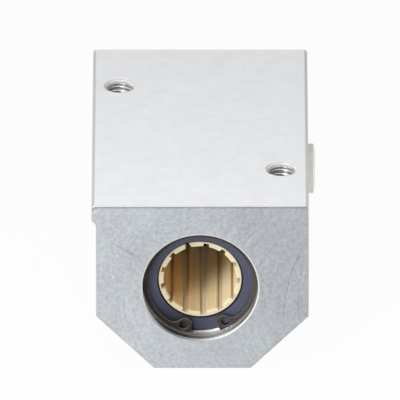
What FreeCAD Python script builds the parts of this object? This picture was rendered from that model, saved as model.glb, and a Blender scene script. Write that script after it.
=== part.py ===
"""Tandem linear bearing block for a 20 mm shaft.

An extruded aluminium block carries two plain linear bearings, end to end in one through bore.
Each bearing is an anodised sleeve with a split polymer liner snapped into it. A retaining ring in a
groove near each mouth of the bore keeps the pair in place. A plug closes the oil port in the side.

Frame, in millimetres: the origin is on the bore axis, half way along the block. +Y runs along the
bore towards the rear, +X points to the side with the oil port, +Z points to the mounting face.
"""

import FreeCAD, Part

import math
import os
import re

import Sketcher

# Driving dimensions: name, value, meaning. Lengths are in millimetres, angles in degrees.
DIMENSIONS = [
    ("block_width", 60.0, "reference edge to the opposite side"),
    ("axis_height", 25.0, "bore axis to mounting face"),
    ("underside_depth", 25.0, "bore axis to underside"),
    ("lip_height", 4.65, "flat of the reference edge, down from the mounting face"),
    ("relief_depth", 1.2, "set-back of the side below the reference edge"),
    ("top_edge_radius", 1.05, "round on both long edges of the mounting face"),
    ("corner_cut", 16.0, "leg of the large lower chamfers"),
    ("corner_radius", 0.5, "round at both ends of the large chamfers"),
    ("edge_break", 0.3, "chamfer round both end faces"),
    ("bore_diameter", 32.0, "through bore of the block"),
    ("bore_mouth_width", 0.4, "flat bevel at each mouth of the bore, across"),
    ("bore_mouth_depth", 0.2, "flat bevel at each mouth of the bore, along"),
    ("seat_lead_in", 0.55, "chamfer that leads a sleeve in behind the groove of the retaining ring"),
    ("bearing_length", 45.0, "one sleeve, and one liner"),
    ("bearing_play", 0.1, "axial play of each bearing"),
    ("ring_setback", 4.9, "end face of the block to the inner face of the retaining ring"),
    ("ring_thickness", 1.2, "retaining ring"),
    ("ring_groove_depth", 0.85, "groove of the retaining ring, from the bore wall"),
    ("ring_side_play", 0.05, "retaining ring to each side of its groove"),
    ("ring_rim_play", 0.02, "retaining ring to the bottom of its groove"),
    ("ring_wide_width", 3.2, "radial width of the ring opposite its gap"),
    ("ring_narrow_width", 1.8, "radial width of the ring beside its gap"),
    ("ring_edge_cut", 0.12, "broken edges of the ring"),
    ("ear_radius", 2.2, "rounded end of an ear"),
    ("ear_rim_margin", 0.4, "round of an ear to the rim of the ring"),
    ("ear_side", 2.35, "middle of an ear's hole to the gap"),
    ("ear_hole_diameter", 2.5, "plier hole"),
    ("ear_angle", 24.2, "middle of the gap to an ear's hole"),
    ("ear_hole_shift", 1.8, "hole of an ear away from the gap, from the middle of the ear's round"),
    ("ear_fillet", 2.6, "hollow between an ear and the ring"),
    ("front_ring_turn", 5.2, "gap of the front ring, counter-clockwise from straight down"),
    ("rear_ring_turn", -8.0, "gap of the rear ring, counter-clockwise from straight down"),
    ("sleeve_play", 0.02, "sleeve to bore wall"),
    ("sleeve_edge_cut", 0.8, "chamfer on the outer edges of the sleeve"),
    ("sleeve_mouth_width", 0.35, "cone at each mouth of the sleeve, across"),
    ("sleeve_mouth_depth", 1.2, "cone at each mouth of the sleeve, along"),
    ("sleeve_groove_span", 31.2, "over the outer sides of the sleeve's two grooves"),
    ("sleeve_groove_width", 1.6, "one groove of the sleeve"),
    ("sleeve_groove_depth", 0.75, "one groove of the sleeve"),
    ("shaft_diameter", 20.0, "bore between the pads of the liner"),
    ("liner_wall", 1.5, "liner at its pads"),
    ("liner_play", 0.02, "liner to sleeve"),
    ("liner_setback", 0.2, "end of the sleeve to the end of the liner"),
    ("liner_lead_in", 0.3, "chamfer at the ends of the pads"),
    ("liner_edge_cut", 0.15, "chamfer on the outer edges of the liner"),
    ("pad_count", 13, "pads round the liner"),
    ("notch_width", 1.6, "groove between two pads"),
    ("notch_depth", 1.05, "groove between two pads"),
    ("pad_edge_cut", 0.25, "bevel along both sides of a pad"),
    ("slit_width", 1.1, "split of the liner"),
    ("pip_diameter", 3.5, "locking pip of the liner"),
    ("pip_height", 2.0, "locking pip, out from the liner"),
    ("pip_play", 0.1, "locking pip to its hole in the sleeve"),
    ("front_bearing_turn", 18.5, "split of the front liner, counter-clockwise from straight up"),
    ("rear_bearing_turn", -40.0, "split of the rear liner, counter-clockwise from straight up"),
    ("thread_diameter", 8.0, "fixing thread, major diameter"),
    ("thread_depth", 16.0, "fixing thread"),
    ("thread_mouth_diameter", 9.0, "countersink of the fixing thread"),
    ("thread_side_inset", 7.5, "fixing thread to the side of the block"),
    ("thread_end_inset", 23.5, "fixing thread to the end of the block"),
    ("tap_drill_diameter", 6.8, "drilled hole below the thread"),
    ("tap_drill_depth", 20.0, "drilled hole, without its point"),
    ("drill_point_angle", 118.0, "point of the drilled hole"),
    ("port_height", 12.2, "oil port above the bore axis"),
    ("port_diameter", 8.0, "plug seat of the oil port"),
    ("port_depth", 9.0, "plug seat of the oil port"),
    ("oilway_diameter", 4.0, "oil way from the plug seat into the bore"),
    ("plug_head_diameter", 13.8, "head of the plug"),
    ("plug_head_height", 2.0, "head of the plug, at its middle"),
    ("plug_rim_height", 1.65, "head of the plug, at its rim"),
    ("plug_rim_cut", 0.25, "chamfer on the rim of the plug"),
    ("plug_shank_length", 7.5, "shank of the plug"),
    ("plug_tip_cut", 0.8, "chamfer on the tip of the plug"),
    ("plug_play", 0.05, "shank of the plug to its seat"),
]

# Sizes that follow from the driving ones: name, formula.
DERIVED = [
    ("block_length", "2 * (bearing_length + bearing_play + ring_setback)"),
    ("bore_radius", "bore_diameter / 2"),
    ("ring_inner_face", "bearing_length + bearing_play"),
    ("ring_groove_radius", "bore_radius + ring_groove_depth"),
    ("ring_radius", "ring_groove_radius - ring_rim_play"),
    ("ring_inner_radius", "ring_radius - (ring_wide_width + ring_narrow_width) / 2"),
    ("ring_offset", "(ring_wide_width - ring_narrow_width) / 2"),
    ("ear_circle_radius", "ring_radius - ear_rim_margin - ear_radius"),
    ("ear_round_angle", "ear_angle - ear_hole_shift"),
    ("gap_angle", "ear_angle - asin(ear_side / ear_circle_radius) / 1deg"),
    ("bearing_centre", "(bearing_length + bearing_play) / 2"),
    ("ring_centre", "ring_inner_face + ring_thickness / 2"),
    ("sleeve_radius", "bore_radius - sleeve_play"),
    ("liner_bore_radius", "shaft_diameter / 2"),
    ("liner_radius", "liner_bore_radius + liner_wall"),
    ("sleeve_bore_radius", "liner_radius + liner_play"),
    ("notch_radius", "liner_bore_radius + notch_depth"),
    ("thread_across", "block_width / 2 - thread_side_inset"),
    ("thread_along", "block_length / 2 - thread_end_inset"),
    ("plug_head_radius", "plug_head_diameter / 2"),
    ("plug_shank_radius", "port_diameter / 2 - plug_play"),
]

NAMES = {name for name, *_ in DIMENSIONS + DERIVED}

document = FreeCAD.newDocument("linear_bearing_block")


# The sheet of sizes


def fill_sheet():
    sheet = document.addObject("Spreadsheet::Sheet", "Sizes")
    rows = [(name, str(value), note) for name, value, note in DIMENSIONS]
    rows += [(name, "=" + formula, "follows") for name, formula in DERIVED]
    for row, (name, content, note) in enumerate(rows, start=1):
        sheet.set(f"A{row}", note)
        sheet.set(f"B{row}", content)
        sheet.setAlias(f"B{row}", name)
    document.recompute()
    return sheet


sheet = fill_sheet()


def bound(formula):
    """The formula with every size named as a cell of the sheet."""
    return re.sub("[a-z_]+", lambda word: "Sizes." + word[0] if word[0] in NAMES else word[0], formula)


def number(formula):
    return float(sheet.evalExpression(bound(formula)))


# Sketches


def new_body(label):
    body = document.addObject("PartDesign::Body", label)
    body.Label = label
    return body


def origin_feature(body, role):
    return next(feature for feature in body.Origin.OriginFeatures if feature.Role == role)


def new_sketch(body, name, plane, offset=None):
    """A sketch on an origin plane of the body, moved along the plane's normal by a formula."""
    sketch = body.newObject("Sketcher::SketchObject", name)
    sketch.AttachmentSupport = [(origin_feature(body, plane), "")]
    sketch.MapMode = "FlatFace"
    if offset:
        sketch.setExpression("AttachmentOffset.Base.z", bound(offset))
    return sketch


def hold(sketch, kind, *where, formula):
    """A dimension whose value is a formula."""
    index = sketch.addConstraint(Sketcher.Constraint(kind, *where, number(formula)))
    sketch.setExpression(f"Constraints[{index}]", bound(formula))


def to_vector(x, y):
    return FreeCAD.Vector(number(x) if x else 0, number(y) if y else 0, 0)


def hold_point(sketch, geometry, position, x, y):
    """Puts a point at a pair of formulas; None puts it on the sketch's own axis."""
    for kind, formula, axis in (("DistanceX", x, -2), ("DistanceY", y, -1)):
        if formula:
            hold(sketch, kind, -1, 1, geometry, position, formula=formula)
        else:
            sketch.addConstraint(Sketcher.Constraint("PointOnObject", geometry, position, axis))


def add_outline(sketch, corners):
    """A closed run of straight edges. Each corner is a pair of formulas."""
    points = [to_vector(x, y) for x, y in corners]
    for start, end in zip(points, points[1:] + points[:1]):
        sketch.addGeometry(Part.LineSegment(start, end))
    for index, (x, y) in enumerate(corners):
        before = (index - 1) % len(corners)
        sketch.addConstraint(Sketcher.Constraint("Coincident", before, 2, index, 1))
        hold_point(sketch, index, 1, x, y)


def add_circle(sketch, x, y, radius):
    circle = Part.Circle(to_vector(x, y), FreeCAD.Vector(0, 0, 1), number(radius))
    index = sketch.addGeometry(circle)
    hold_point(sketch, index, 3, x, y)
    hold(sketch, "Radius", index, formula=radius)


def both_halves(half):
    """A section that is the same on both sides of the sketch's vertical axis."""
    return half + [(f"-({x})", y) for x, y in reversed(half)]


# Features


def extrude(body, kind, name, sketch, length=None, midplane=False, reverse=False):
    """A Pad or a Pocket; without a length it goes right through."""
    feature = body.newObject("PartDesign::" + kind, name)
    feature.Profile = sketch
    feature.Midplane = midplane
    feature.Reversed = reverse
    if length:
        feature.setExpression("Length", bound(length))
    else:
        feature.Type = "ThroughAll"
    document.recompute()
    return feature


def revolve(body, kind, name, sketch):
    """A Revolution or a Groove, all the way round the sketch's horizontal axis."""
    feature = body.newObject("PartDesign::" + kind, name)
    feature.Profile = sketch
    feature.ReferenceAxis = (sketch, ["H_Axis"])
    feature.Angle = 360
    document.recompute()
    return feature


def dress_edges(body, kind, name, size, wanted):
    """A Fillet or a Chamfer on each edge for which wanted is true."""
    base = body.Tip
    names = [f"Edge{index}" for index, edge in enumerate(base.Shape.Edges, start=1) if wanted(edge)]
    feature = body.newObject("PartDesign::" + kind, name)
    feature.Base = (base, names)
    feature.setExpression("Radius" if kind == "Fillet" else "Size", bound(size))
    document.recompute()


def mirror(body, name, feature, plane):
    copy = body.newObject("PartDesign::Mirrored", name)
    copy.Originals = [feature]
    copy.MirrorPlane = (origin_feature(body, plane), [""])
    body.Tip = copy
    document.recompute()


def repeat_round(body, name, feature, axis, count):
    pattern = body.newObject("PartDesign::PolarPattern", name)
    pattern.Originals = [feature]
    pattern.Axis = (origin_feature(body, axis), [""])
    pattern.Angle = 360
    pattern.setExpression("Occurrences", bound(count))
    body.Tip = pattern
    document.recompute()


def place_on_axis(body, along, angle):
    """Moves a body along the bore and turns it counter-clockwise, as seen from the front."""
    for part, formula in (
        ("Base.y", along),
        ("Rotation.Axis.x", "0"),
        ("Rotation.Axis.y", "1"),
        ("Rotation.Axis.z", "0"),
        ("Rotation.Angle", f"-({angle})"),
    ):
        body.setExpression("Placement." + part, bound(formula))


# Edges, found by their place


def near(a, b):
    return abs(a - b) < 1e-4


def is_arc(edge, radius):
    if edge.Degenerated:
        return False
    return hasattr(edge.Curve, "Radius") and near(edge.Curve.Radius, radius)


def runs_along_y(edge):
    ends = [vertex.Point for vertex in edge.Vertexes]
    if len(ends) != 2:
        return False
    step = ends[1] - ends[0]
    return near(step.x, 0) and near(step.z, 0)


# The block


def extrude_block(body):
    """The extruded section, with the reference edge on the left and large lower chamfers."""
    right = "block_width / 2"
    relieved = "relief_depth - block_width / 2"
    bottom = "-underside_depth"
    shoulder = "corner_cut - underside_depth"
    foot_right = "block_width / 2 - corner_cut"
    foot_left = "relief_depth - block_width / 2 + corner_cut"
    sketch = new_sketch(body, "section", "XZ_Plane")
    add_outline(
        sketch,
        [
            ("-block_width / 2", "axis_height"),
            (right, "axis_height"),
            (right, shoulder),
            (foot_right, bottom),
            (foot_left, bottom),
            (relieved, shoulder),
            (relieved, "axis_height - lip_height - relief_depth"),
            ("-block_width / 2", "axis_height - lip_height"),
        ],
    )
    extrude(body, "Pad", "extrusion", sketch, "block_length", midplane=True)

    def is_edge_at(places):
        spots = [(number(x), number(z)) for x, z in places]

        def wanted(edge):
            point = edge.Vertexes[0].Point
            return runs_along_y(edge) and any(near(point.x, x) and near(point.z, z) for x, z in spots)

        return wanted

    top_edges = is_edge_at([("-block_width / 2", "axis_height"), (right, "axis_height")])
    dress_edges(body, "Fillet", "top_edge_rounds", "top_edge_radius", top_edges)
    corners = is_edge_at([(right, shoulder), (foot_right, bottom), (foot_left, bottom), (relieved, shoulder)])
    dress_edges(body, "Fillet", "corner_rounds", "corner_radius", corners)


def bore_block(body):
    """The through bore; at each end a bevelled mouth, a groove for a retaining ring and a lead-in."""
    sketch = new_sketch(body, "bore_circle", "XZ_Plane")
    add_circle(sketch, None, None, "bore_radius")
    extrude(body, "Pocket", "bore", sketch, midplane=True)

    near_side = "ring_inner_face - ring_side_play"
    far_side = "ring_inner_face + ring_thickness + ring_side_play"
    seat_start = near_side + " - seat_lead_in"
    end = "block_length / 2"
    inside_bore = "bore_radius - ring_groove_depth"
    sketch = new_sketch(body, "bore_end_section", "YZ_Plane")
    add_outline(
        sketch,
        [
            (seat_start, inside_bore),
            (end, inside_bore),
            (end, "bore_radius + bore_mouth_width"),
            (end + " - bore_mouth_depth", "bore_radius"),
            (far_side, "bore_radius"),
            (far_side, "ring_groove_radius"),
            (near_side, "ring_groove_radius"),
            (near_side, "bore_radius + seat_lead_in"),
            (seat_start, "bore_radius"),
        ],
    )
    rear_end = revolve(body, "Groove", "rear_bore_end", sketch)
    mirror(body, "front_bore_end", rear_end, "XZ_Plane")


def add_hole(body, name, diameter, depth):
    """A hole from the mounting face at both fixing places, in opposite corners of the block."""
    sketch = new_sketch(body, name + "_places", "XY_Plane", "axis_height")
    add_circle(sketch, "-thread_across", "thread_along", diameter + " / 2")
    add_circle(sketch, "thread_across", "-thread_along", diameter + " / 2")
    hole = body.newObject("PartDesign::Hole", name)
    hole.Profile = sketch
    document.recompute()
    hole.DepthType = "Dimension"
    hole.setExpression("Diameter", bound(diameter))
    hole.setExpression("Depth", bound(depth))
    return hole


def drill_fixing_threads(body):
    drilled = add_hole(body, "tap_drill", "tap_drill_diameter", "tap_drill_depth")
    drilled.DrillPoint = "Angled"
    drilled.setExpression("DrillPointAngle", bound("drill_point_angle"))
    document.recompute()
    thread = add_hole(body, "thread", "thread_diameter", "thread_depth")
    thread.DrillPoint = "Flat"
    thread.HoleCutType = "Countersink"
    thread.HoleCutCustomValues = True
    thread.setExpression("HoleCutDiameter", bound("thread_mouth_diameter"))
    thread.HoleCutCountersinkAngle = 90
    document.recompute()


def drill_oil_port(body):
    """A stepped hole half way along the side, into the bore where the two bearings meet."""
    for name, diameter, depth in (
        ("plug_seat", "port_diameter", "port_depth"),
        ("oilway", "oilway_diameter", "block_width / 2"),
    ):
        sketch = new_sketch(body, name + "_circle", "YZ_Plane", "block_width / 2")
        add_circle(sketch, None, "port_height", diameter + " / 2")
        extrude(body, "Pocket", name, sketch, depth)


def break_end_edges(body):
    """A chamfer round both end faces."""
    end = number("block_length / 2")
    mouth_radius = number("bore_radius + bore_mouth_width")

    def is_outer(edge):
        at_end = all(near(abs(vertex.Point.y), end) for vertex in edge.Vertexes)
        return at_end and not is_arc(edge, mouth_radius)

    dress_edges(body, "Chamfer", "end_edges", "edge_break", is_outer)


def make_block():
    body = new_body("housing_block")
    extrude_block(body)
    bore_block(body)
    drill_fixing_threads(body)
    drill_oil_port(body)
    break_end_edges(body)
    return body


# The bearings


def make_sleeve(label, along, angle):
    """Anodised sleeve with two grooves outside and a hole for the liner's pip."""
    body = new_body(label)
    end = "bearing_length / 2"
    groove_end = "sleeve_groove_span / 2"
    groove_start = "sleeve_groove_span / 2 - sleeve_groove_width"
    groove_floor = "sleeve_radius - sleeve_groove_depth"
    half = [
        (end + " - sleeve_mouth_depth", "sleeve_bore_radius"),
        (end, "sleeve_bore_radius + sleeve_mouth_width"),
        (end, "sleeve_radius - sleeve_edge_cut"),
        (end + " - sleeve_edge_cut", "sleeve_radius"),
        (groove_end, "sleeve_radius"),
        (groove_end, groove_floor),
        (groove_start, groove_floor),
        (groove_start, "sleeve_radius"),
    ]
    sketch = new_sketch(body, "section", "YZ_Plane")
    add_outline(sketch, both_halves(half))
    revolve(body, "Revolution", "tube", sketch)

    sketch = new_sketch(body, "pip_hole_circle", "XY_Plane")
    add_circle(sketch, None, None, "pip_diameter / 2 + pip_play")
    extrude(body, "Pocket", "pip_hole", sketch)
    place_on_axis(body, along, angle)
    return body


def make_liner(label, along, angle):
    """Split polymer liner: pads that carry the shaft, and grooves between them."""
    body = new_body(label)
    end = "bearing_length / 2 - liner_setback"
    half = [
        (end + " - liner_lead_in", "liner_bore_radius"),
        (end, "liner_bore_radius + liner_lead_in"),
        (end, "liner_radius - liner_edge_cut"),
        (end + " - liner_edge_cut", "liner_radius"),
    ]
    sketch = new_sketch(body, "section", "YZ_Plane")
    add_outline(sketch, both_halves(half))
    revolve(body, "Revolution", "tube", sketch)

    # The pip grows from inside the wall, at the bottom, opposite the split.
    sketch = new_sketch(body, "pip_circle", "XY_Plane", "-notch_radius")
    add_circle(sketch, None, None, "pip_diameter / 2")
    extrude(body, "Pad", "pip", sketch, "liner_radius + pip_height - notch_radius", reverse=True)

    inside_bore = "liner_bore_radius - liner_wall"
    notch_side = "notch_width / 2"
    notch_half = [
        (notch_side + " + pad_edge_cut + liner_wall", inside_bore),
        (notch_side, "liner_bore_radius + pad_edge_cut"),
        (notch_side, "notch_radius"),
    ]
    notch = cut_lengthwise(body, "notch", notch_half)
    repeat_round(body, "notches", notch, "Y_Axis", "pad_count")
    slit_side = "slit_width / 2"
    cut_lengthwise(body, "slit", [(slit_side, inside_bore), (slit_side, "liner_radius + liner_wall")])
    place_on_axis(body, along, angle)
    return body


def cut_lengthwise(body, name, half):
    """A groove along the top of a liner; half is the right side of its section, from the bore out."""
    sketch = new_sketch(body, name + "_section", "XZ_Plane")
    add_outline(sketch, both_halves(half))
    return extrude(body, "Pocket", name, sketch, midplane=True)


# The retaining rings


def make_ring(label, along, angle):
    """Internal retaining ring that tapers towards its gap and ends in two plier ears."""
    body = new_body(label)
    sketch = new_sketch(body, "ring_circles", "XZ_Plane")
    add_circle(sketch, None, None, "ring_radius")
    add_circle(sketch, None, "-ring_offset", "ring_inner_radius")
    extrude(body, "Pad", "ring", sketch, "ring_thickness", midplane=True)

    def from_bottom(side, radius, angle):
        """A place at a radius and an angle from straight down, to one side or the other."""
        return f"{side}{radius} * sin({angle} * 1deg)", f"-{radius} * cos({angle} * 1deg)"

    rounds = [from_bottom(side, "ear_circle_radius", "ear_round_angle") for side in ("", "-")]
    sketch = new_sketch(body, "ear_circles", "XZ_Plane")
    for x, z in rounds:
        add_circle(sketch, x, z, "ear_radius")
    extrude(body, "Pad", "ears", sketch, "ring_thickness", midplane=True)

    gap_ends = (("", "ear_radius"), ("", "bore_diameter"), ("-", "bore_diameter"), ("-", "ear_radius"))
    sketch = new_sketch(body, "gap_section", "XZ_Plane")
    add_outline(sketch, [from_bottom(side, radius, "gap_angle") for side, radius in gap_ends])
    extrude(body, "Pocket", "gap", sketch, midplane=True)

    sketch = new_sketch(body, "ear_hole_circles", "XZ_Plane")
    for side in ("", "-"):
        x, z = from_bottom(side, "ear_circle_radius", "ear_angle")
        add_circle(sketch, x, z, "ear_hole_diameter / 2")
    extrude(body, "Pocket", "ear_holes", sketch, midplane=True)

    centres = [(number(x), number(z)) for x, z in rounds]
    ear_radius = number("ear_radius")

    def is_hollow(edge):
        """Where the round of an ear meets the inner edge of the ring, away from the gap."""
        point = edge.Vertexes[0].Point
        from_ears = [math.hypot(point.x - x, point.z - z) for x, z in centres]
        from_inner = math.hypot(point.x, point.z + number("ring_offset"))
        on_ear = any(near(distance, ear_radius) for distance in from_ears)
        on_ring = near(from_inner, number("ring_inner_radius"))
        return runs_along_y(edge) and on_ear and on_ring and abs(point.x) > centres[0][0]

    dress_edges(body, "Fillet", "ear_hollows", "ear_fillet", is_hollow)
    dress_edges(body, "Chamfer", "broken_edges", "ring_edge_cut", lambda edge: not runs_along_y(edge))
    place_on_axis(body, along, angle)
    return body


# The plug


def add_dome(sketch, base, top, radius):
    """Half the section of a low dome on the sketch's horizontal axis, from its flat base to its top."""
    low, high, reach = number(base), number(top), number(radius)
    ball = (reach**2 + (high - low) ** 2) / (2 * (high - low))
    circle = Part.Circle(FreeCAD.Vector(high - ball, 0, 0), FreeCAD.Vector(0, 0, 1), ball)
    middle = FreeCAD.Vector(low, 0, 0)
    arc = sketch.addGeometry(Part.ArcOfCircle(circle, 0, math.asin(reach / ball)))
    flat = sketch.addGeometry(Part.LineSegment(FreeCAD.Vector(low, reach, 0), middle))
    axis = sketch.addGeometry(Part.LineSegment(middle, FreeCAD.Vector(high, 0, 0)))
    for one, other, end, start in ((arc, flat, 2, 1), (flat, axis, 2, 1), (axis, arc, 2, 1)):
        sketch.addConstraint(Sketcher.Constraint("Coincident", one, end, other, start))
    sketch.addConstraint(Sketcher.Constraint("PointOnObject", arc, 3, -1))
    hold_point(sketch, arc, 1, top, None)
    hold_point(sketch, arc, 2, base, radius)
    hold_point(sketch, flat, 2, base, None)


def make_plug():
    """Push-in plug with a low domed head, seated on the port side of the block."""
    body = new_body("side_plug")
    tip = "-plug_shank_length"
    sketch = new_sketch(body, "section", "XZ_Plane")
    add_outline(
        sketch,
        [
            ("plug_rim_height", None),
            (tip, None),
            (tip, "plug_shank_radius - plug_tip_cut"),
            (tip + " + plug_tip_cut", "plug_shank_radius"),
            (None, "plug_shank_radius"),
            (None, "plug_head_radius"),
            ("plug_rim_height", "plug_head_radius"),
        ],
    )
    revolve(body, "Revolution", "shank_and_head", sketch)

    sketch = new_sketch(body, "dome_section", "XZ_Plane")
    add_dome(sketch, "plug_rim_height", "plug_head_height", "plug_head_radius")
    revolve(body, "Revolution", "dome", sketch)

    rim_height = number("plug_rim_height")
    rim_radius = number("plug_head_radius")

    def is_rim(edge):
        return is_arc(edge, rim_radius) and near(edge.Vertexes[0].Point.x, rim_height)

    dress_edges(body, "Chamfer", "rim_chamfer", "plug_rim_cut", is_rim)
    body.setExpression("Placement.Base.x", bound("block_width / 2"))
    body.setExpression("Placement.Base.z", bound("port_height"))
    return body


def check_and_write(bodies):
    """Stops at any faulty object, then writes one file for each piece."""
    for item in document.Objects:
        if "Invalid" in item.State or "Error" in item.State:
            raise RuntimeError("faulty: " + item.Label)
    os.makedirs("parts", exist_ok=True)
    for body in bodies:
        shape = body.Shape
        if shape.isNull() or not shape.isValid() or len(shape.Solids) != 1:
            raise RuntimeError("not one valid solid: " + body.Label)
        shape.exportStep(f"parts/{body.Label}.step")


pieces = [
    make_block(),
    make_sleeve("front_sleeve", "-bearing_centre", "front_bearing_turn"),
    make_sleeve("rear_sleeve", "bearing_centre", "rear_bearing_turn"),
    make_liner("front_liner", "-bearing_centre", "front_bearing_turn"),
    make_liner("rear_liner", "bearing_centre", "rear_bearing_turn"),
    make_ring("front_circlip", "-ring_centre", "front_ring_turn"),
    make_ring("rear_circlip", "ring_centre", "rear_ring_turn"),
    make_plug(),
]
document.recompute()
check_and_write(pieces)
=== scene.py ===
"""Looks of the linear bearing block: materials, fixing threads, studio and camera.

Objects are in metres, in the part's own frame: the bore runs along Y, the front end faces -Y,
the mounting face is up. Sizes of the part and its patterns are written in millimetres, those of the
studio in metres.
"""

import math

import bpy
from mathutils import Matrix, Vector


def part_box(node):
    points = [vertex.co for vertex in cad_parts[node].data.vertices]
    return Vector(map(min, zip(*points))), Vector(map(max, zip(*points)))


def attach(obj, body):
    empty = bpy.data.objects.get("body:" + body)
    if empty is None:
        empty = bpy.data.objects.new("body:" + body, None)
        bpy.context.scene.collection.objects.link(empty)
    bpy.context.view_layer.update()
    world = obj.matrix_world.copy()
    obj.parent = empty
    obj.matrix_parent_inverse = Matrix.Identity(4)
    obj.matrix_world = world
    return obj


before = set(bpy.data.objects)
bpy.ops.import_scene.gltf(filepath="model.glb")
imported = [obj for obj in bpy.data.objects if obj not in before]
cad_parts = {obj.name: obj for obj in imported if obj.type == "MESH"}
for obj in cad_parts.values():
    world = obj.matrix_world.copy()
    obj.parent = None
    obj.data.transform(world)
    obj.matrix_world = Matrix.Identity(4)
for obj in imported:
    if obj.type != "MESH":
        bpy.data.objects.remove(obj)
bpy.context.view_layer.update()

MM = 0.001
WHITE = (1.0, 1.0, 1.0, 1.0)
SIDEWAYS = Vector((1, 0, 0))

# The photograph's view: a very long lens, almost without perspective.
IMAGE_SIZE = 400
VIEW_ELEVATION = math.radians(26.14)
PIXELS_PER_MM = 3.587
ORIGIN_PIXEL = (200.2, 207.7)
LENS = 1700.0
SENSOR = 36.0
CLIP_END = 40.0

# Soft lights: place, what they face, size, and power in watts.
LAMPS = {
    "key": ((-0.1825, -0.352, 0.3045), (0, 0, 0), (0.12, 0.18), 1.22),
    "fill": ((-0.10, -0.16, 0.01), (0, -0.05, 0), (0.06, 0.03), 0.09),
    "top": ((0.1, -0.1, 0.6), (0, 0, 0), (0.6, 0.4), 1.25),
    "kicker": ((0.12, -0.045, 0.016), (0.03, 0, 0.012), (0.07, 0.03), 0.045),
    "strip": ((-0.15, -0.07, 0.5), (0, 0, 0), (0.05, 0.28), 0.2),
}

# The sky: its strength as light and to the camera, the side on which it is dim, the cosines to that
# side over which it dims, and the share that is left.
SKY_LIGHT = 0.36
SKY_SEEN = 0.975
DIM_SIDE = Vector((0.72, -0.6, 0.35)).normalized()
DIM_RANGE = (0.1, 0.85)
DIM_SHARE = 0.2

# The floor: half its width, its grey, its roughness, and the share of plain white that is seen.
FLOOR_REACH = 6.0
FLOOR_LEVEL = 0.65
FLOOR_ROUGHNESS = 0.9
FLOOR_WHITE = 0.955

# The block, as the part has it, and a radius that holds everything bored along its axis.
HALF_WIDTH, HALF_LENGTH, HALF_HEIGHT = [round(value / MM, 3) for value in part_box("housing_block")[1]]
RELIEF_DEPTH = 1.2
LIP_HEIGHT = 4.65
LIP_FOOT = HALF_HEIGHT - LIP_HEIGHT - RELIEF_DEPTH / 2
CORNER_CUT = 16.0
EDGE_BREAK = 0.3
BORED_RADIUS = 17.2

# The fixing threads, as the part has them, each with a countersink of 90 degrees.
THREAD_SIDE_INSET = 7.5
THREAD_END_INSET = 23.5
THREAD_ACROSS = HALF_WIDTH - THREAD_SIDE_INSET
THREAD_ALONG = HALF_LENGTH - THREAD_END_INSET
THREAD_PLACES = ((-THREAD_ACROSS, THREAD_ALONG), (THREAD_ACROSS, -THREAD_ALONG))
THREAD_RADIUS = 4.0
THREAD_DEPTH = 16.0
SINK_RADIUS = 4.5
SINK_DEPTH = SINK_RADIUS - THREAD_RADIUS

# The ridge of a thread: its pitch and the radius of its crest, points per turn and across, how far it
# sinks into the wall, the power that sharpens its crest, how far it stays below the countersink, and the
# depths over which the metal that the countersink trimmed ends.
THREAD_PITCH = 1.25
THREAD_CREST_RADIUS = 3.45
RIDGE_STEPS = 60
RIDGE_POINTS = 12
RIDGE_OVERLAP = 0.05
RIDGE_POWER = 1.4
RIDGE_TRIM = 0.02
TRIMMED_DEPTHS = (RIDGE_TRIM, 0.08)

# What lies this close to an outer face belongs to the face, and how far a zone reaches past its size.
FACE_SKIN = 0.01
ZONE_MARGIN = 0.05

# Parts of the surface normal, along Y or up, over which a surface turns into an edge, an end or the top.
EDGE_SLOPES = (0.4, 0.6, 0.8, 0.93)
END_SLOPES = (0.93, 0.985)
TOP_SLOPES = (0.95, 0.995)
RING_EDGE_SLOPES = (0.3, 0.5, 0.85, 0.95)
LINER_END_SLOPES = (0.4, 0.8)
CHANNEL_END_SLOPES = (0.3, 0.6)

# The same for the part of the normal away from the axis, over which a liner's surface stops being a wall.
LINER_WALL_SLOPES = (0.3, 0.55)

# The range that holds most values of a noise.
NOISE_RANGE = (0.3, 0.7)

# A thin dark ring in the cone of a countersink: its radius, and the distances over which it ends.
SINK_LINE_RADIUS = 4.3
SINK_LINE_WIDTH = (0.05, 0.14)

# The bore: how deep its pale rim is, where the wall behind the rim turns brighter with painted light, and
# the radii over which the painted highlight round the mouth ends.
RIM_DEPTH = 0.25
BRIGHT_WALL = (48.0, 48.3)
GLINT_BORDER = (16.45, 16.75)

# Soft patches in x and z, each with its place and reach: painted shade low on the left of the bore, a
# painted highlight low on its right, and the painted lit side of the retaining rings.
LOW_LEFT_SHADE = ((-8.2, -14.3), 16.0)
LOW_RIGHT_GLINT = ((6.0, -14.8), 7.0)
RING_LIT_SIDE = ((16.0, -3.0), 14.0)

# The face mill that finished the ends: its radius, the height at which it crossed, and how slowly its
# lines change along their run.
MILL_RADIUS = 34.0
MILL_HEIGHT = -4.0
MILL_STRETCH = 0.06

# The deeper arc of the mill on the front end: its middle, its radius, the distances over which it ends
# at both sides, and the heights over which it begins and ends.
ARC_MIDDLE = (73.1, -10.0)
ARC_RADIUS = 50.0
ARC_WIDTH = (0.1, 0.35)
ARC_HEIGHTS = (-12.0, -5.0, 10.0, 14.0)

# The scratch on the front end.
SCRATCH_START = (-23.1, 12.9)
SCRATCH_END = (-16.2, 8.6)
SCRATCH_WIDTH = 0.7

# The ends are painted lighter at the foot, for the light from the floor, up to these heights, and carry
# painted shade along
# their outline: the distances over which the dark line ends, the heights over which it grows, and how dark
# it is below and above.
PAINTED_FOOT_LIGHT = (-24.0, 2.0)
OUTLINE_WIDTH = (0.05, 0.5)
OUTLINE_HEIGHTS = (23.0, 24.0)
OUTLINE_SHADE_DEPTHS = (0.03, 0.6)

# Stains on the ends: place, reach, and what they add to the tone. The two on the right are painted shade,
# darker on that side.
END_STAINS_AND_SHADE = (
    ((20.0, 15.0), 18.0, -0.09),
    ((-19.0, 10.5), 7.0, -0.05),
    ((26.0, -12.0), 18.0, -0.05),
)

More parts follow.
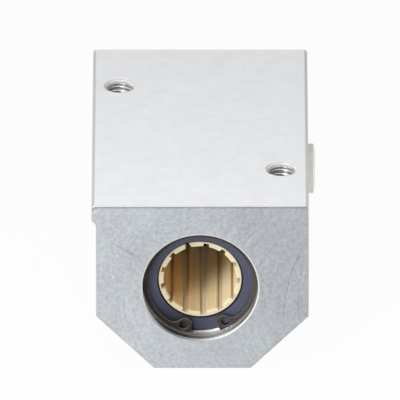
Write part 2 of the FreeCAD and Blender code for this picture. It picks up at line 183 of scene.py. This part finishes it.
# Specks on the ends: cells per millimetre, size in a cell, and what they add to the tone. And the share
# of the cells that stays empty.
END_SPECKS = (
    (0.38, 0.22, 0.2),
    (0.23, 0.16, -0.16),
)
EMPTY_CELLS = 0.72

# The bearings: the radii over which the painted shade in the gap round a liner ends, the radii at which the
# channels of a liner begin, the distances from the middle at which the painted shade on its walls lightens
# and the joint ends, and its side painted in shade and its side painted lit.
SLEEVE_GAP = (11.75, 12.1)
LINER_CHANNEL = (10.7, 10.9)
LINER_MOUTH = (42.0, 44.0)
LINER_JOINT = (1.7, 2.2)
LINER_SIDES = (-9.0, 9.0)


# Shader building


def new_material(name):
    """A material, its tree and its Principled shader."""
    material = bpy.data.materials.new(name)
    material.use_nodes = True
    tree = material.node_tree
    return material, tree, tree.nodes["Principled BSDF"]


def add_node(tree, kind, inputs=None, **settings):
    """A node with its settings, and with its inputs set to values or joined to other sockets."""
    node = tree.nodes.new(kind)
    for name, value in settings.items():
        setattr(node, name, value)
    for key, value in (inputs or {}).items():
        if isinstance(value, bpy.types.NodeSocket):
            tree.links.new(value, node.inputs[key])
        else:
            node.inputs[key].default_value = value
    return node


def calculate(tree, operation, first, *others):
    """Applies an operation to one value, or joins several values by it, one after the other."""
    result = first
    for other in others or (0.0,):
        node = add_node(tree, "ShaderNodeMath", {0: result, 1: other}, operation=operation)
        result = node.outputs[0]
    return result


def weigh(tree, terms, start=0.0):
    """Start plus the sum of factor times value."""
    result = start
    for factor, value in terms:
        node = add_node(tree, "ShaderNodeMath", {0: value, 1: factor, 2: result}, operation="MULTIPLY_ADD")
        result = node.outputs[0]
    return result


def choose(tree, share, first, second):
    """The first value at share 0, the second at share 1."""
    return weigh(tree, [(share, calculate(tree, "SUBTRACT", second, first))], first)


def length_of(tree, first, second):
    """Length of a vector with two parts."""
    squares = calculate(tree, "MULTIPLY", second, second)
    return calculate(tree, "SQRT", weigh(tree, [(first, first)], squares))


def distance_to(tree, first, second, place):
    """Distance to a place in a plane."""
    first_off = calculate(tree, "SUBTRACT", first, place[0])
    second_off = calculate(tree, "SUBTRACT", second, place[1])
    return length_of(tree, first_off, second_off)


def fade(tree, value, low, high, to_low=0.0, to_high=1.0):
    """Maps low..high smoothly to another pair of values."""
    inputs = {"Value": value, "From Min": low, "From Max": high, "To Min": to_low, "To Max": to_high}
    node = add_node(tree, "ShaderNodeMapRange", inputs, interpolation_type="SMOOTHSTEP")
    return node.outputs["Result"]


def fade_out(tree, value, low, high):
    """1 up to low, 0 from high on."""
    return fade(tree, value, low, high, 1.0, 0.0)


def band(tree, value, start, full, last, end):
    """1 from full to last, fading to 0 at start and at end."""
    return calculate(tree, "MULTIPLY", fade(tree, value, start, full), fade_out(tree, value, last, end))


def rgb(red, green, blue):
    return (red, green, blue, 1.0)


def grey(level, tint=(1.0, 1.0, 1.0)):
    return rgb(*[level * part for part in tint])


def blend_colours(tree, share, first, second):
    """The first colour at share 0, the second at share 1."""
    inputs = {0: share, 6: first, 7: second}
    return add_node(tree, "ShaderNodeMix", inputs, data_type="RGBA").outputs[2]


def scale_colour(tree, colour, factor):
    """A colour made lighter or darker by a factor."""
    if isinstance(colour, tuple):
        colour = colour[:3]
    node = add_node(tree, "ShaderNodeVectorMath", {0: colour, "Scale": factor}, operation="SCALE")
    return node.outputs["Vector"]


def millimetres(tree, stretch=(1, 1, 1)):
    """Places on the object in millimetres, multiplied by a factor along each axis."""
    place = add_node(tree, "ShaderNodeTexCoord").outputs["Object"]
    inputs = {"Vector": place, "Scale": [value / MM for value in stretch]}
    return add_node(tree, "ShaderNodeMapping", inputs).outputs["Vector"]


def split(tree, vector):
    node = add_node(tree, "ShaderNodeSeparateXYZ", {"Vector": vector})
    return [node.outputs[axis] for axis in "XYZ"]


def join(tree, x, y, z):
    return add_node(tree, "ShaderNodeCombineXYZ", {0: x, 1: y, 2: z}).outputs["Vector"]


def surface_normal(tree):
    return split(tree, add_node(tree, "ShaderNodeTexCoord").outputs["Normal"])


def facet_normal(tree):
    """The normal without smoothing; the part stands unturned, so its axes are the world's."""
    return add_node(tree, "ShaderNodeNewGeometry").outputs["True Normal"]


def noise(tree, vector, scale, detail=3.0, roughness=0.5):
    """Uneven values round 0.5; the scale is in cells per unit of the vector."""
    inputs = {"Vector": vector, "Scale": scale, "Detail": detail, "Roughness": roughness}
    return add_node(tree, "ShaderNodeTexNoise", inputs).outputs["Fac"]


def specks(tree, vector, scale, size):
    """Sparse round spots: 1 in the middle of a spot, 0 elsewhere."""
    cells = add_node(tree, "ShaderNodeTexVoronoi", {"Vector": vector, "Scale": scale})
    chosen = calculate(tree, "GREATER_THAN", split(tree, cells.outputs["Color"])[0], EMPTY_CELLS)
    spot = fade_out(tree, cells.outputs["Distance"], 0.0, size)
    return calculate(tree, "MULTIPLY", spot, chosen)


def stain(tree, x, z, place, reach):
    """A soft round patch: 1 in its middle, 0 outside its reach."""
    return fade_out(tree, distance_to(tree, x, z, place), 0.0, reach)


def add_bump(tree, shader, height, distance, crisp=False):
    """Bump: a height of 1 stands for the distance. Crisp leaves the mesh's own edges unsmoothed."""
    inputs = {"Height": height, "Distance": distance * MM}
    if crisp:
        inputs["Normal"] = facet_normal(tree)
    bump = add_node(tree, "ShaderNodeBump", inputs)
    tree.links.new(bump.outputs["Normal"], shader.inputs["Normal"])


def vary_roughness(tree, shader, pattern, smooth, rough):
    """Lets the roughness follow a noise between two values."""
    tree.links.new(fade(tree, pattern, *NOISE_RANGE, smooth, rough), shader.inputs["Roughness"])


# Block material

# Colours of its finishes; a pair holds the two ends of a blend.
SKIN_COLOUR = grey(0.54, (0.993, 1.0, 0.968))
TOP_COLOUR = grey(0.80, (0.990, 1.0, 1.018))
EDGE_COLOUR = grey(0.47)
ETCHED_COLOURS = (grey(0.45, (0.943, 1.0, 1.05)), grey(0.45, (0.953, 1.0, 1.065)))
TURNED_COLOUR = grey(0.5, (1.0, 0.975, 0.95))
SINK_COLOURS = (grey(0.58), grey(0.95))

# The darkest tone that the painted shade gives to the wall of the bore.
DARKEST_WALL = 0.06

# How metallic and how rough the drawn skin is, and what each zone adds to that.
SKIN_METAL = 0.6
METAL_CHANGES = {"top": -0.5, "end": -0.25, "sink": -0.6, "bore": 0.15, "rim": -0.3}
SKIN_ROUGHNESS = 0.42
ROUGHNESS_CHANGES = {"top": 0.25, "end": 0.12, "hole": -0.12, "bore": -0.16, "rim": 0.35}

# How much deeper the turning lines are than the grain.
TURNED_HEIGHT = 20.0


def thread_distance(tree, x, y):
    """Distance to the axis of the nearer fixing thread."""
    return calculate(tree, "MINIMUM", *[distance_to(tree, x, y, place) for place in THREAD_PLACES])


def block_zones(tree, x, y, z):
    """Where each finish of the block lies: 1 in its zone, 0 elsewhere."""
    normal_y, normal_z = surface_normal(tree)[1:]
    slope = calculate(tree, "ABSOLUTE", normal_y)
    along = calculate(tree, "ABSOLUTE", y)
    above_axis = calculate(tree, "GREATER_THAN", z, 0.0)

    near_axis = calculate(tree, "LESS_THAN", length_of(tree, x, z), BORED_RADIUS)
    behind_end = calculate(tree, "LESS_THAN", along, HALF_LENGTH - FACE_SKIN)
    bore = calculate(tree, "MULTIPLY", near_axis, behind_end)
    at_mouth = calculate(tree, "GREATER_THAN", along, HALF_LENGTH - RIM_DEPTH)

    near_thread = calculate(tree, "LESS_THAN", thread_distance(tree, x, y), SINK_RADIUS + ZONE_MARGIN)
    below_top = calculate(tree, "LESS_THAN", z, HALF_HEIGHT - FACE_SKIN)
    hole = calculate(tree, "MULTIPLY", near_thread, below_top, above_axis)
    above_thread = calculate(tree, "GREATER_THAN", z, HALF_HEIGHT - SINK_DEPTH - ZONE_MARGIN)
    sink = calculate(tree, "MULTIPLY", hole, above_thread)

    return {
        "edge": band(tree, slope, *EDGE_SLOPES),
        "top": calculate(tree, "MULTIPLY", above_axis, fade(tree, normal_z, *TOP_SLOPES)),
        "end": fade(tree, slope, *END_SLOPES),
        "bore": bore,
        "rim": calculate(tree, "MULTIPLY", bore, at_mouth),
        "hole": hole,
        "sink": sink,
        "machined": calculate(tree, "SUBTRACT", calculate(tree, "MAXIMUM", bore, hole), sink),
    }


def skin(tree, drawn):
    """Colour of the drawn sides."""
    cloud = noise(tree, millimetres(tree), scale=0.05, detail=2.0)
    return scale_colour(tree, SKIN_COLOUR, weigh(tree, [(drawn, 0.16), (cloud, 0.16)], 0.84))


def swept_top(tree):
    """Colour of the top, with fine lines across it and faint smudges."""
    swept = noise(tree, millimetres(tree, (0.035, 2.2, 1.0)), scale=1.0)
    smudge = noise(tree, millimetres(tree), scale=0.3, detail=4.0, roughness=0.65)
    return scale_colour(tree, TOP_COLOUR, weigh(tree, [(swept, 0.05), (smudge, 0.17)], 0.935))


def countersink(tree, x, y):
    """Colour of a countersink, with a thin dark ring in its cone."""
    off = calculate(tree, "SUBTRACT", thread_distance(tree, x, y), SINK_LINE_RADIUS)
    off_line = calculate(tree, "ABSOLUTE", off)
    return blend_colours(tree, fade(tree, off_line, *SINK_LINE_WIDTH), *SINK_COLOURS)


def bored_metal(tree, x, y, z, turned, rim):
    """Colour of the bore and the holes: painted light further in, painted shade low on the left, a painted
    highlight low on the right, pale at the rim.
    """
    along = calculate(tree, "ABSOLUTE", y)
    # Painted light: the wall deeper in is painted brighter.
    inner = fade_out(tree, along, *BRIGHT_WALL)
    # Painted shade low on the left of the bore.
    painted_shade = stain(tree, x, z, *LOW_LEFT_SHADE)
    # A painted highlight low on the right of the bore; the rim takes it slightly darker.
    glint_and_wear = stain(tree, x, z, *LOW_RIGHT_GLINT)
    wall_tone = weigh(tree, [(turned, 0.8), (painted_shade, -0.75), (glint_and_wear, 0.6), (inner, 0.55)], 0.44)
    wall_tone = calculate(tree, "MAXIMUM", wall_tone, DARKEST_WALL)
    rim_tone = weigh(tree, [(turned, 0.8), (painted_shade, -1.12), (glint_and_wear, -0.1)], 1.05)
    return scale_colour(tree, TURNED_COLOUR, choose(tree, rim, wall_tone, rim_tone))


def mill_lines(tree, x, z):
    """Fine uneven lines, round 0, of a face mill that crossed the face: arcs that bulge to the left."""
    drop = calculate(tree, "SUBTRACT", z, MILL_HEIGHT)
    inside = calculate(tree, "SUBTRACT", MILL_RADIUS**2, calculate(tree, "MULTIPLY", drop, drop))
    across = calculate(tree, "ADD", calculate(tree, "SQRT", inside), x)
    run = calculate(tree, "MULTIPLY", z, MILL_STRETCH)
    lines = noise(tree, join(tree, across, run, 0.0), scale=1.5, detail=2.0)
    clear = fade(tree, noise(tree, millimetres(tree), scale=0.07, detail=1.0), 0.4, 0.6, 0.3, 0.9)
    return calculate(tree, "MULTIPLY", calculate(tree, "SUBTRACT", lines, 0.5), clear)


def arc_mark(tree, x, z):
    """One deeper arc that the face mill left, right of the bore."""
    off = calculate(tree, "SUBTRACT", distance_to(tree, x, z, ARC_MIDDLE), ARC_RADIUS)
    line = fade_out(tree, calculate(tree, "ABSOLUTE", off), *ARC_WIDTH)
    return calculate(tree, "MULTIPLY", line, band(tree, z, *ARC_HEIGHTS))


def scratch(tree, x, z):
    """A straight, broken scratch: 1 along its line, 0 away from it."""
    run = Vector(SCRATCH_END) - Vector(SCRATCH_START)
    from_x = calculate(tree, "SUBTRACT", x, SCRATCH_START[0])
    from_z = calculate(tree, "SUBTRACT", z, SCRATCH_START[1])
    share = weigh(tree, [(from_x, run.x / run.length_squared), (from_z, run.y / run.length_squared)])
    share = calculate(tree, "MINIMUM", calculate(tree, "MAXIMUM", share, 0.0), 1.0)
    off_x = weigh(tree, [(share, -run.x)], from_x)
    off_z = weigh(tree, [(share, -run.y)], from_z)
    line = fade_out(tree, length_of(tree, off_x, off_z), 0.0, SCRATCH_WIDTH)
    broken = fade(tree, noise(tree, millimetres(tree), scale=0.45, detail=1.0), 0.42, 0.55)
    return calculate(tree, "MULTIPLY", line, broken)


def outline_distance(tree, x, z):
    """How far inside the outline of an end face a place lies."""
    half_root = math.sqrt(0.5)
    lip = calculate(tree, "GREATER_THAN", z, LIP_FOOT)
    right_foot = (HALF_WIDTH + HALF_HEIGHT - CORNER_CUT) * half_root
    left_foot = (HALF_WIDTH - RELIEF_DEPTH + HALF_HEIGHT - CORNER_CUT) * half_root
    return calculate(
        tree,
        "MINIMUM",
        weigh(tree, [(x, -1.0)], HALF_WIDTH - EDGE_BREAK),
        weigh(tree, [(x, 1.0), (lip, RELIEF_DEPTH)], HALF_WIDTH - RELIEF_DEPTH - EDGE_BREAK),
        weigh(tree, [(z, -1.0)], HALF_HEIGHT - EDGE_BREAK),
        weigh(tree, [(z, 1.0)], HALF_HEIGHT - EDGE_BREAK),
        weigh(tree, [(x, -half_root), (z, half_root)], right_foot - EDGE_BREAK),
        weigh(tree, [(x, half_root), (z, half_root)], left_foot - EDGE_BREAK),
    )


def end_marks(tree, x, y, z):
    """What the marks on an end face add to its tone."""
    place = millimetres(tree)
    terms = [(mill_lines(tree, x, z), 0.6)]
    for scale, size, share in END_SPECKS:
        terms.append((specks(tree, place, scale, size), share))
    for middle, reach, share in END_STAINS_AND_SHADE:
        terms.append((stain(tree, x, z, middle, reach), share))

    front = calculate(tree, "LESS_THAN", y, 0.0)
    cuts = calculate(tree, "MAXIMUM", arc_mark(tree, x, z), scratch(tree, x, z))
    terms.append((calculate(tree, "MULTIPLY", cuts, front), -0.19))

    # A painted highlight round the mouth, stronger low on the right and weaker under the painted shade low
    # on the left.
    border = fade_out(tree, length_of(tree, x, z), *GLINT_BORDER)
    border_glint = weigh(tree, [(stain(tree, x, z, *LOW_RIGHT_GLINT), 1.0), (stain(tree, x, z, *LOW_LEFT_SHADE), -0.66)], 0.11)
    terms.append((border, border_glint))
    return weigh(tree, terms)


def end_face(tree, x, y, z, grain):
    """Colour of the milled and etched end faces, painted lighter towards the foot and with painted shade
    along their outline.
    """
    place = millimetres(tree)
    pits = noise(tree, place, scale=1.7, detail=2.0)
    patches = noise(tree, place, scale=0.075, detail=2.0)
    shares = [(grain, 0.6), (pits, 0.46), (patches, 0.3)]
    # A noise lies round 0.5, so this start keeps the tone round 1.
    tone = weigh(tree, shares, 1.0 - 0.5 * sum(share for pattern, share in shares))
    # Painted light from the floor: lighter towards the foot.
    low = fade_out(tree, z, *PAINTED_FOOT_LIGHT)
    tone = weigh(tree, [(low, 0.11), (end_marks(tree, x, y, z), 1.0)], tone)

    # Painted shade along the outline, strongest under the top edge.
    edge = fade_out(tree, outline_distance(tree, x, z), *OUTLINE_WIDTH)
    outline_shade = fade(tree, z, *OUTLINE_HEIGHTS, *OUTLINE_SHADE_DEPTHS)
    tone = calculate(tree, "SUBTRACT", tone, calculate(tree, "MULTIPLY", edge, outline_shade))
    tint = fade(tree, noise(tree, place, scale=0.11, detail=1.0), 0.35, 0.65)
    return scale_colour(tree, blend_colours(tree, tint, *ETCHED_COLOURS), tone)


def clear_anodised():
    """Clear anodised aluminium: drawn sides, a swept top, etched ends, bright bored holes."""
    material, tree, shader = new_material("clear_anodised_aluminium")
    x, y, z = split(tree, millimetres(tree))
    zones = block_zones(tree, x, y, z)
    drawn = noise(tree, millimetres(tree, (5.0, 0.03, 5.0)), scale=1.0)
    turned = noise(tree, join(tree, 0.0, y, 0.0), scale=4.0, detail=2.0)
    grain = noise(tree, millimetres(tree), scale=0.8)

    colour = blend_colours(tree, zones["edge"], skin(tree, drawn), EDGE_COLOUR)
    colour = blend_colours(tree, zones["top"], colour, swept_top(tree))
    colour = blend_colours(tree, zones["sink"], colour, countersink(tree, x, y))
    colour = blend_colours(tree, zones["end"], colour, end_face(tree, x, y, z, grain))
    bright = bored_metal(tree, x, y, z, turned, zones["rim"])
    colour = blend_colours(tree, zones["machined"], colour, bright)
    tree.links.new(colour, shader.inputs["Base Color"])

    metal = weigh(tree, [(zones[name], change) for name, change in METAL_CHANGES.items()], SKIN_METAL)
    tree.links.new(metal, shader.inputs["Metallic"])
    rough = weigh(tree, [(drawn, 0.08)], SKIN_ROUGHNESS)
    rough = weigh(tree, [(zones[name], change) for name, change in ROUGHNESS_CHANGES.items()], rough)
    tree.links.new(rough, shader.inputs["Roughness"])
    height = choose(tree, zones["end"], drawn, grain)
    turned_height = calculate(tree, "MULTIPLY", turned, TURNED_HEIGHT)
    add_bump(tree, shader, choose(tree, zones["machined"], height, turned_height), 0.02)
    return material


# Other materials

# Their colours, where a pair holds the two ends of a blend, and how metallic the threads are.
THREAD_COLOURS = (grey(0.52, (1.0, 0.98, 0.95)), grey(0.74, (1.0, 0.99, 0.97)))
TRIMMED_COLOUR = grey(0.95)
THREAD_METAL = 0.9
SLEEVE_COLOURS = (rgb(0.072, 0.076, 0.122), rgb(0.102, 0.108, 0.170))
# Painted shade for the gap round a liner.
GAP_COLOUR = rgb(0.026, 0.021, 0.018)
# The pad and cut end pairs run from the side painted in shade to the side painted lit; the wall pair from
# deep painted shade to the paler mouth.
PAD_COLOURS = (rgb(0.82, 0.56, 0.27), rgb(0.95, 0.83, 0.56))
WALL_COLOURS = (rgb(0.62, 0.43, 0.20), rgb(0.76, 0.66, 0.42))
CUT_END_COLOURS = (rgb(0.68, 0.605, 0.41), rgb(0.82, 0.73, 0.51))
CHANNEL_COLOUR = rgb(0.84, 0.77, 0.57)
JOINT_COLOUR = rgb(0.03, 0.022, 0.012)
RING_COLOURS = (rgb(0.042, 0.037, 0.034), rgb(0.078, 0.069, 0.062))
# Lighter edges of the ring: wear, and a painted highlight where their rounding catches light.
RING_EDGE_COLOURS = (rgb(0.09, 0.077, 0.067), rgb(0.2, 0.173, 0.148))
PLUG_COLOURS = (rgb(0.80, 0.80, 0.76), rgb(0.87, 0.87, 0.83))


def cut_thread():
    """Bright cut aluminium of the fixing threads, paler where the countersink trims them."""
    material, tree, shader = new_material("cut_thread")
    x, y, z = split(tree, millimetres(tree))
    below_cone = weigh(tree, [(thread_distance(tree, x, y), 1.0), (z, -1.0)], HALF_HEIGHT - SINK_RADIUS)
    trimmed = fade_out(tree, below_cone, *TRIMMED_DEPTHS)
    torn = noise(tree, millimetres(tree, (1.0, 1.0, 6.0)), scale=2.0, detail=4.0)
    colour = blend_colours(tree, torn, *THREAD_COLOURS)
    tree.links.new(blend_colours(tree, trimmed, colour, TRIMMED_COLOUR), shader.inputs["Base Color"])
    tree.links.new(fade(tree, trimmed, 0.0, 1.0, THREAD_METAL, 0.0), shader.inputs["Metallic"])
    vary_roughness(tree, shader, torn, 0.27, 0.4)
    add_bump(tree, shader, torn, 0.01)
    return material


def dark_anodised():
    """Hard anodised sleeve, faced on a lathe, with painted shade in the gap round the liner and low on the
    left.
    """
    material, tree, shader = new_material("dark_anodised_aluminium")
    shader.inputs["Metallic"].default_value = 0.15
    shader.inputs["Specular IOR Level"].default_value = 0.25
    x, y, z = split(tree, millimetres(tree))
    radius = length_of(tree, x, z)
    rings = noise(tree, join(tree, radius, y, 0.0), scale=4.0)
    grain = noise(tree, millimetres(tree), scale=2.0, detail=4.0)
    share = fade(tree, weigh(tree, [(rings, 0.5), (grain, 0.5)]), *NOISE_RANGE)
    # Painted shade low on the left, by the retaining ring.
    painted_shade = stain(tree, x, z, *LOW_LEFT_SHADE)
    # Painted shade in the gap round the liner.
    in_gap = fade_out(tree, radius, *SLEEVE_GAP)
    colour = blend_colours(tree, share, *SLEEVE_COLOURS)
    colour = scale_colour(tree, colour, weigh(tree, [(painted_shade, -0.65)], 1.0))
    tree.links.new(blend_colours(tree, in_gap, colour, GAP_COLOUR), shader.inputs["Base Color"])
    tree.links.new(weigh(tree, [(share, 0.12), (in_gap, 0.3)], 0.30), shader.inputs["Roughness"])
    add_bump(tree, shader, share, 0.01)
    return material


def liner_zones(tree, x, y, z):
    """Where each colour of a liner lies: 1 in its zone, 0 elsewhere."""
    radius = length_of(tree, x, z)
    along = calculate(tree, "ABSOLUTE", y)
    normal_x, normal_y, normal_z = split(tree, facet_normal(tree))
    slope = calculate(tree, "ABSOLUTE", normal_y)
    outward = calculate(tree, "DIVIDE", weigh(tree, [(normal_x, x), (normal_z, z)]), radius)
    # Painted shade on the walls of the channels.
    wall = fade_out(tree, calculate(tree, "ABSOLUTE", outward), *LINER_WALL_SLOPES)
    deep = fade(tree, radius, *LINER_CHANNEL)
    between_ends = fade_out(tree, slope, *CHANNEL_END_SLOPES)
    off_wall = calculate(tree, "SUBTRACT", 1.0, wall)
    return {
        "wall": wall,
        "channel": calculate(tree, "MULTIPLY", deep, between_ends, off_wall),
        "end": fade(tree, slope, *LINER_END_SLOPES),
        "mouth": fade(tree, along, *LINER_MOUTH),
        "joint": fade_out(tree, along, *LINER_JOINT),
        # Where the liner is painted lit rather than shaded.
        "lit_side": fade(tree, x, *LINER_SIDES),
    }


def liner_polymer():
    """Warm, matt moulded polymer, with painted shade on its channel walls, a painted lit side, and a dark
    joint between the two liners.
    """
    material, tree, shader = new_material("liner_polymer")
    zones = liner_zones(tree, *split(tree, millimetres(tree)))
    cloud = noise(tree, millimetres(tree), scale=0.4, detail=4.0)
    streak = noise(tree, millimetres(tree, (1.6, 0.01, 1.6)), scale=1.0, roughness=0.6)
    grain = noise(tree, millimetres(tree, (3.0, 0.5, 3.0)), scale=2.0)

    # Painted shade on the left of the liner, painted light on its right.
    pad = blend_colours(tree, zones["lit_side"], *PAD_COLOURS)
    wall = blend_colours(tree, zones["mouth"], *WALL_COLOURS)
    cut_end = blend_colours(tree, zones["lit_side"], *CUT_END_COLOURS)
    cut_end = scale_colour(tree, cut_end, weigh(tree, [(cloud, 0.16)], 0.92))
    colour = blend_colours(tree, zones["wall"], pad, wall)
    colour = scale_colour(tree, colour, weigh(tree, [(cloud, 0.1), (streak, 0.3)], 0.8))
    colour = blend_colours(tree, zones["end"], colour, cut_end)
    colour = blend_colours(tree, zones["channel"], colour, CHANNEL_COLOUR)
    colour = blend_colours(tree, zones["joint"], colour, JOINT_COLOUR)
    tree.links.new(colour, shader.inputs["Base Color"])
    vary_roughness(tree, shader, grain, 0.42, 0.58)
    add_bump(tree, shader, grain, 0.01, crisp=True)
    return material


def spring_steel():
    """Dark phosphated spring steel, lighter along its broken edges from wear and a painted highlight, with
    a painted lit side and painted shade low on the left.
    """
    material, tree, shader = new_material("spring_steel")
    shader.inputs["Metallic"].default_value = 0.1
    shader.inputs["Specular IOR Level"].default_value = 0.08
    x, y, z = split(tree, millimetres(tree))
    slope = calculate(tree, "ABSOLUTE", surface_normal(tree)[1])
    grain = noise(tree, millimetres(tree), scale=4.0, detail=4.0, roughness=0.6)
    share = fade(tree, grain, *NOISE_RANGE)
    # Painted light on the right of the ring and painted shade low on its left.
    lit_side = stain(tree, x, z, *RING_LIT_SIDE)
    painted_shade = stain(tree, x, z, *LOW_LEFT_SHADE)
    face = blend_colours(tree, share, *RING_COLOURS)
    face = scale_colour(tree, face, weigh(tree, [(lit_side, 0.55), (painted_shade, -0.25)], 1.0))
    # Edge colour: wear and a painted highlight.
    glint_and_wear = blend_colours(tree, share, *RING_EDGE_COLOURS)
    on_edge = band(tree, slope, *RING_EDGE_SLOPES)
    tree.links.new(blend_colours(tree, on_edge, face, glint_and_wear), shader.inputs["Base Color"])
    vary_roughness(tree, shader, grain, 0.34, 0.5)
    add_bump(tree, shader, grain, 0.015)
    return material


def plug_plastic():
    """Pale grey moulded plug."""
    material, tree, shader = new_material("plug_plastic")
    cloud = noise(tree, millimetres(tree), scale=0.5, detail=4.0)
    grain = noise(tree, millimetres(tree), scale=8.0)
    tree.links.new(blend_colours(tree, cloud, *PLUG_COLOURS), shader.inputs["Base Color"])
    vary_roughness(tree, shader, grain, 0.35, 0.45)
    add_bump(tree, shader, grain, 0.01)
    return material


def dress(name, material):
    """Gives a CAD node one material."""
    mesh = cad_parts[name].data
    mesh.materials.clear()
    mesh.materials.append(material)


# Added pieces


def add_object(name, data):
    """An object in the scene."""
    added = bpy.data.objects.new(name, data)
    bpy.context.scene.collection.objects.link(added)
    return added


def ridge_vertices(x, y, steps):
    """Rows of points down a thread's ridge, trimmed by the countersink above and running out below."""
    top = HALF_HEIGHT + THREAD_PITCH
    root = THREAD_RADIUS + RIDGE_OVERLAP
    vertices = []
    for step in range(steps + 1):
        angle = -2 * math.pi * step / RIDGE_STEPS
        height = top - THREAD_PITCH * step / RIDGE_STEPS
        run_out = min(1.0, (steps - step) / RIDGE_STEPS)
        for point in range(RIDGE_POINTS + 1):
            offset = point / RIDGE_POINTS - 0.5
            rise = math.cos(math.pi * offset) ** RIDGE_POWER
            radius = root + (THREAD_CREST_RADIUS - root) * rise * run_out
            cone = HALF_HEIGHT - SINK_RADIUS + radius - RIDGE_TRIM
            z = min(height + offset * THREAD_PITCH, cone)
            place = (x + radius * math.cos(angle), y + radius * math.sin(angle), z)
            vertices.append([value * MM for value in place])
    return vertices


def ridge_faces(steps):
    """Faces between neighbouring rows of a ridge, and one that closes each end."""
    count = RIDGE_POINTS + 1
    faces = []
    for step in range(steps):
        for side in range(count):
            here = step * count + side
            beside = step * count + (side + 1) % count
            faces.append((here, beside, beside + count, here + count))
    faces.append(tuple(range(count))[::-1])
    faces.append(tuple(steps * count + side for side in range(count)))
    return faces


def thread_ridge(name, x, y, material):
    """The helical ridge of one fixing thread."""
    steps = int((THREAD_DEPTH + THREAD_PITCH) / THREAD_PITCH * RIDGE_STEPS)
    faces = ridge_faces(steps)
    mesh = bpy.data.meshes.new(name)
    mesh.from_pydata(ridge_vertices(x, y, steps), [], faces)
    mesh.polygons.foreach_set("use_smooth", [True] * len(faces))
    mesh.materials.append(material)
    ridge = add_object(name, mesh)
    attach(ridge, "root")


# Studio


def seen_directly(tree):
    """1 where the camera sees a surface, straight or in metal, and 0 where it only gives light."""
    rays = add_node(tree, "ShaderNodeLightPath").outputs
    seen = [rays[kind] for kind in ("Is Camera Ray", "Is Glossy Ray", "Is Transmission Ray")]
    return calculate(tree, "MAXIMUM", *seen)


def make_floor():
    """A white floor that keeps a faint shadow and shows white in the metal."""
    material, tree, shader = new_material("floor")
    shader.inputs["Base Color"].default_value = grey(FLOOR_LEVEL)
    shader.inputs["Roughness"].default_value = FLOOR_ROUGHNESS
    glow = add_node(tree, "ShaderNodeEmission", {"Color": WHITE, "Strength": 1.0})
    share = calculate(tree, "MULTIPLY", seen_directly(tree), FLOOR_WHITE)
    mixed = add_node(tree, "ShaderNodeMixShader", {0: share, 1: shader.outputs["BSDF"], 2: glow.outputs[0]})
    tree.links.new(mixed.outputs[0], tree.nodes["Material Output"].inputs["Surface"])

    mesh = bpy.data.meshes.new("floor")
    sides = ((-1, -1), (1, -1), (1, 1), (-1, 1))
    corners = [(x * FLOOR_REACH, y * FLOOR_REACH, -HALF_HEIGHT * MM) for x, y in sides]
    mesh.from_pydata(corners, [], [(0, 1, 2, 3)])
    mesh.materials.append(material)
    floor = add_object("floor", mesh)


def make_world():
    """A soft sky, dim on the side away from the key light, that looks white to the camera."""
    world = bpy.data.worlds.new("studio")
    world.use_nodes = True
    bpy.context.scene.world = world
    tree = world.node_tree
    background = tree.nodes["Background"]
    background.inputs["Color"].default_value = WHITE
    directions = split(tree, add_node(tree, "ShaderNodeTexCoord").outputs["Generated"])
    towards = weigh(tree, zip(directions, DIM_SIDE))
    level = fade(tree, towards, *DIM_RANGE, 1.0, DIM_SHARE)
    rays = add_node(tree, "ShaderNodeLightPath").outputs
    strength = weigh(tree, [(rays["Is Glossy Ray"], 1.0 - SKY_LIGHT)], SKY_LIGHT)
    level = calculate(tree, "MULTIPLY", level, strength)
    direct = calculate(tree, "MAXIMUM", rays["Is Camera Ray"], rays["Is Transmission Ray"])
    direct = calculate(tree, "MULTIPLY", direct, SKY_SEEN)
    tree.links.new(calculate(tree, "MAXIMUM", level, direct), background.inputs["Strength"])


def add_softbox(name, place, target, size, power):
    """A soft light that faces the target; the first of its two sizes runs sideways."""
    light = bpy.data.lights.new(name, "AREA")
    light.shape = "RECTANGLE"
    light.size, light.size_y = size
    light.energy = power
    lamp = add_object(name, light)
    lamp.location = place
    facing = (Vector(place) - Vector(target)).normalized()
    side = (SIDEWAYS - facing * facing.dot(SIDEWAYS)).normalized()
    lamp.rotation_euler = Matrix((side, facing.cross(side), facing)).transposed().to_euler()
    lamp.visible_camera = False


def make_camera():
    """The photograph's camera, aimed so that the part's origin falls on its pixel."""
    data = bpy.data.cameras.new("camera")
    data.lens = LENS
    data.sensor_width = SENSOR
    data.clip_end = CLIP_END
    camera = add_object("camera", data)
    backwards = Vector((0, -math.cos(VIEW_ELEVATION), math.sin(VIEW_ELEVATION)))
    upwards = Vector((0, math.sin(VIEW_ELEVATION), math.cos(VIEW_ELEVATION)))
    middle = IMAGE_SIZE / 2
    right = (middle - ORIGIN_PIXEL[0]) / PIXELS_PER_MM * MM
    up = (ORIGIN_PIXEL[1] - middle) / PIXELS_PER_MM * MM
    target = SIDEWAYS * right + upwards * up
    distance = LENS / SENSOR * IMAGE_SIZE / PIXELS_PER_MM * MM
    camera.location = target + backwards * distance
    camera.rotation_euler = (-backwards).to_track_quat("-Z", "Y").to_euler()
    bpy.context.scene.camera = camera


bpy.context.scene.view_settings.view_transform = "Standard"
make_camera()
make_world()
make_floor()
for name, (place, target, size, power) in LAMPS.items():
    add_softbox(name, place, target, size, power)

dress("housing_block", clear_anodised())
dress("side_plug", plug_plastic())
bearing_materials = {
    "sleeve": dark_anodised(),
    "liner": liner_polymer(),
    "circlip": spring_steel(),
}
for end in ("front", "rear"):
    for piece, material in bearing_materials.items():
        dress(f"{end}_{piece}", material)
thread_material = cut_thread()
for number, (x, y) in enumerate(THREAD_PLACES, start=1):
    thread_ridge(f"fixing_thread_{number}", x, y, thread_material)
